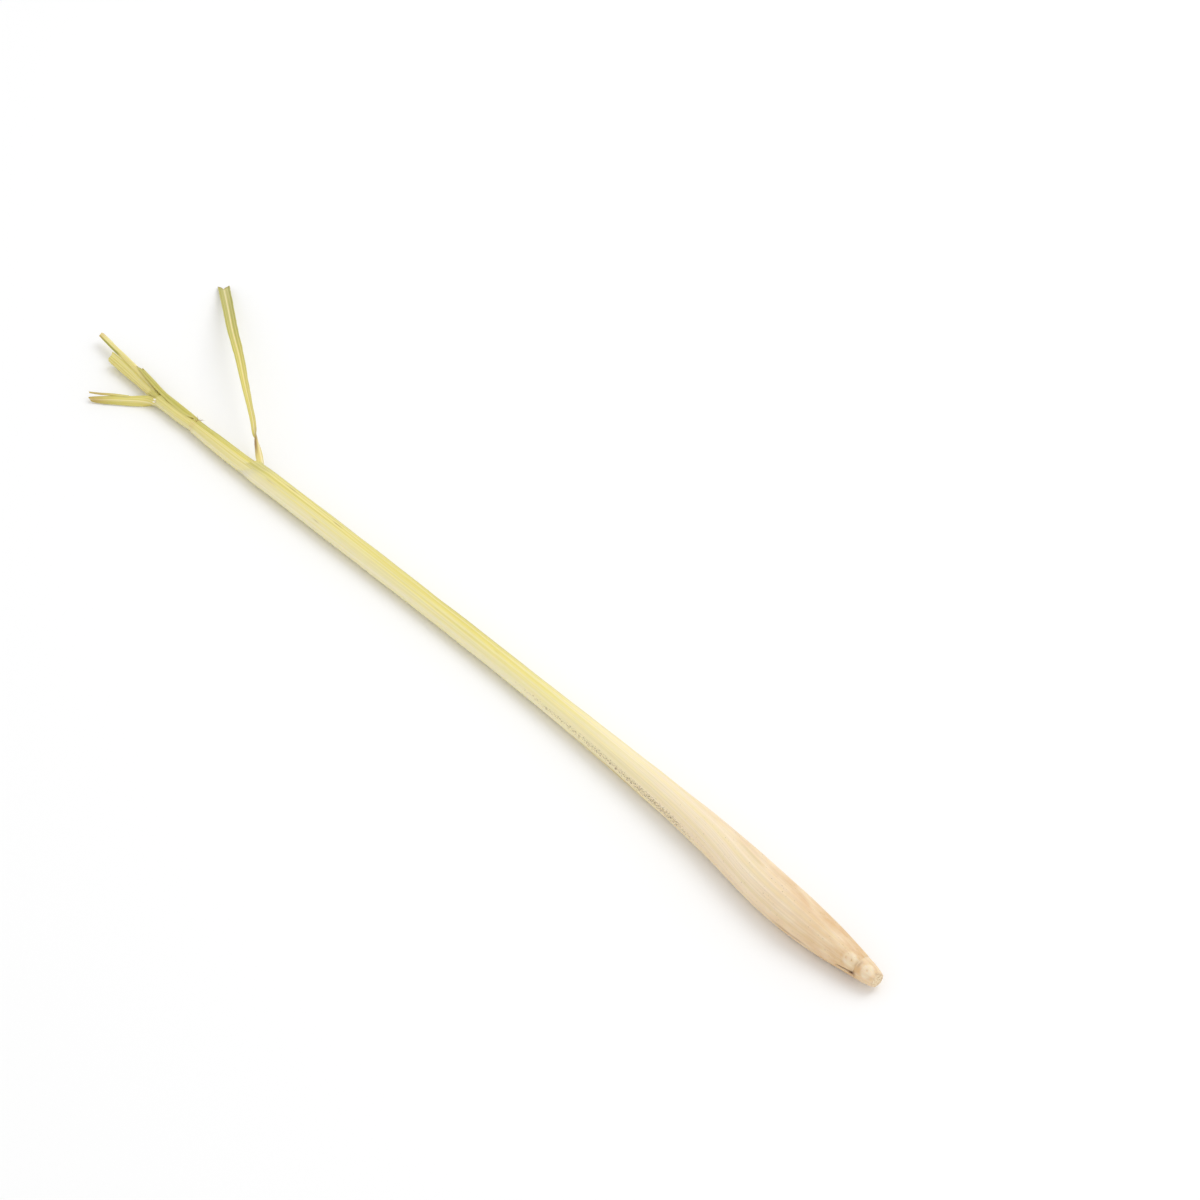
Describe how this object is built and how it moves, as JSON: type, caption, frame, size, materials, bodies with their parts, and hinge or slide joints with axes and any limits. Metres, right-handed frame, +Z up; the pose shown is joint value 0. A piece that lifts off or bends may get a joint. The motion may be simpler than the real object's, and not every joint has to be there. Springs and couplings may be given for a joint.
{
  "type": "lemongrass stalk",
  "caption": "Trimmed fresh lemongrass stalk lying on its side: swollen pale base, rolled overlapping leaf sheaths and short cut blades that fan out at the tip.",
  "frame": {"origin": "on the surface that the stalk lies on, under the middle of its bounding box", "axes": "+X along the stalk from the cut base to the leaf tips, +Z up, +Y to the left of someone looking from base to tips"},
  "size_m": [0.4164, 0.0789, 0.0147],
  "materials": {
    "stem_flesh": "fresh, pale cream stem flesh, satin",
    "outer_leaf_skin": "waxy cream to yellow-green leaf skin with fine veins",
    "second_leaf_skin": "waxy yellow-green leaf skin with fine veins",
    "third_leaf_skin": "yellow-green leaf skin, darker along the veins",
    "fourth_leaf_skin": "soft green leaf skin with fine veins",
    "heart_leaf_skin": "young pale yellow-green leaf skin"
  },
  "bodies": {
    "root": {"stem_base": "stem_flesh", "outer_leaf": "outer_leaf_skin", "second_leaf": "second_leaf_skin", "third_leaf": "third_leaf_skin", "fourth_leaf": "fourth_leaf_skin", "heart_leaf": "heart_leaf_skin"}
  },
  "joints": []
}
